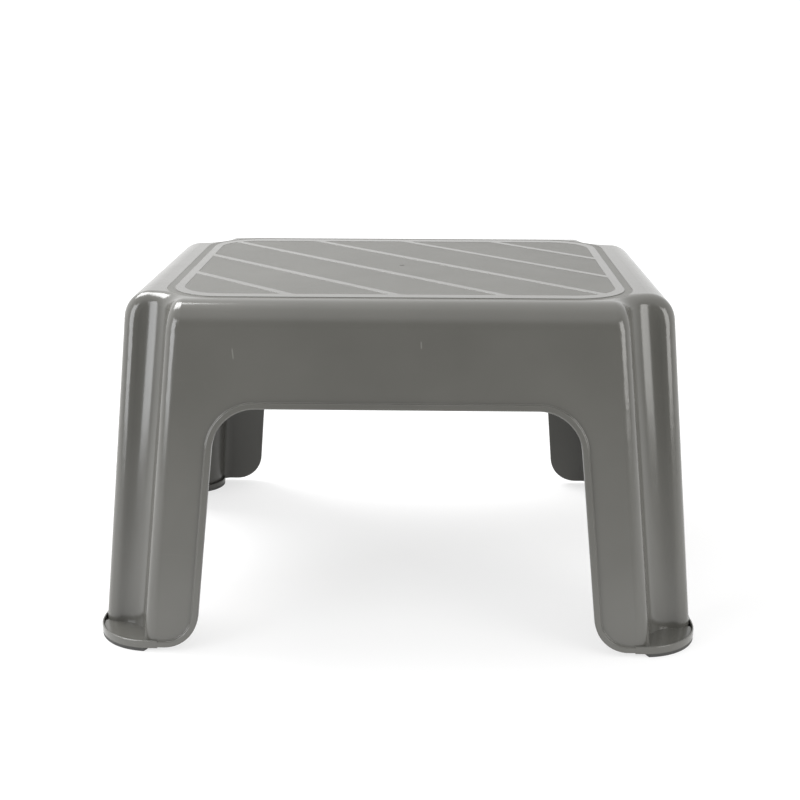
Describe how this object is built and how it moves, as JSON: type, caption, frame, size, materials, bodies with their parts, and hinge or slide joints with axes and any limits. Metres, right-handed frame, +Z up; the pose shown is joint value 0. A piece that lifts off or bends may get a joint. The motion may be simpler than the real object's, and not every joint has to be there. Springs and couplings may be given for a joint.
{
  "type": "step stool",
  "caption": "Low one-step stool moulded in grey plastic, with a raised ribbed tread, fluted corners, arched sides and non-slip foot pads.",
  "frame": {"origin": "on the floor, under the centre of the stool", "axes": "+X along the long side of the tread, +Y to the rear, +Z up out of the tread"},
  "size_m": [0.3908, 0.3416, 0.2215],
  "materials": {
    "moulded_plastic": "injection-moulded grey polypropylene, satin outside, finely etched on the tread field",
    "pad_rubber": "soft grey thermoplastic rubber, matt"
  },
  "bodies": {
    "root": {"stool_body": "moulded_plastic", "foot_pad_front_left": "pad_rubber", "foot_pad_front_right": "pad_rubber", "foot_pad_rear_left": "pad_rubber", "foot_pad_rear_right": "pad_rubber"}
  },
  "joints": []
}
